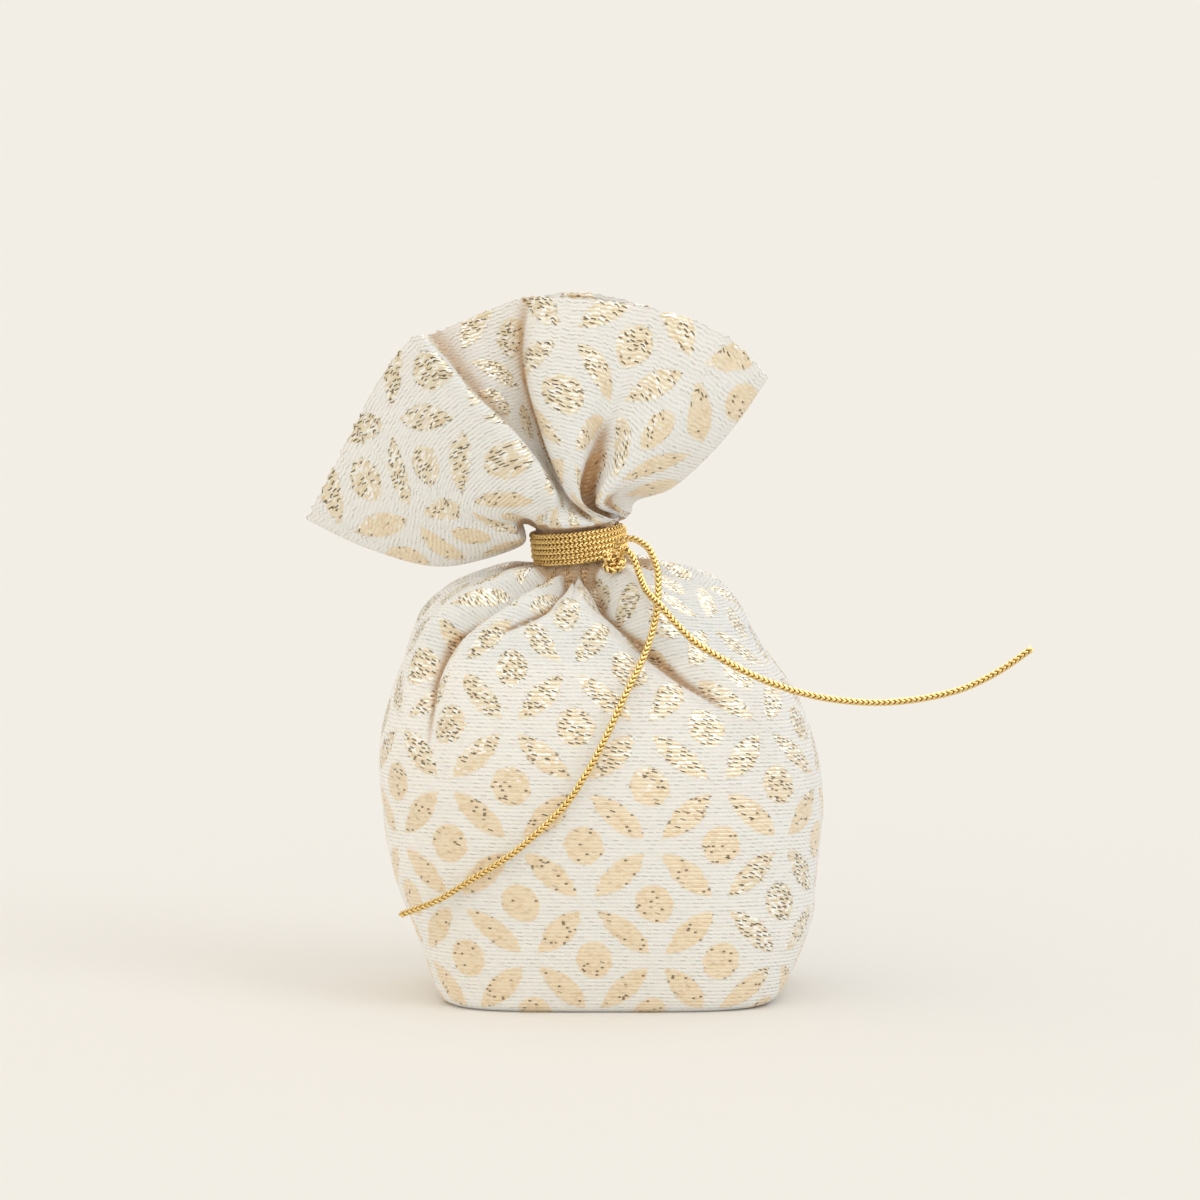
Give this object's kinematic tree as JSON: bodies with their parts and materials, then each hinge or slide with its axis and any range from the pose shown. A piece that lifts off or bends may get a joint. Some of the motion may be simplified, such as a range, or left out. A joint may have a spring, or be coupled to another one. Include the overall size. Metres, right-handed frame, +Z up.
{
  "type": "potli bag",
  "caption": "Small filled brocade favour pouch, gathered at the neck, bound with a gold cord and fanned out in a ruffle above the tie.",
  "frame": {"origin": "middle of the flat base, under the middle of the cloth's box, the free cord ends left out", "axes": "+Z up, -Y towards the front, where the knot is, +X towards the knot's side"},
  "size_m": [0.1226, 0.0583, 0.12],
  "materials": {
    "brocade": "off-white ribbed cotton with a woven matt and glittering gold pattern",
    "gold_cord": "shiny gold metallic yarn, knitted cord"
  },
  "bodies": {
    "root": {"cloth_bag": "brocade", "neck_binding": "gold_cord", "tie_knot": "gold_cord", "left_tail": "gold_cord", "right_tail": "gold_cord"}
  },
  "joints": []
}
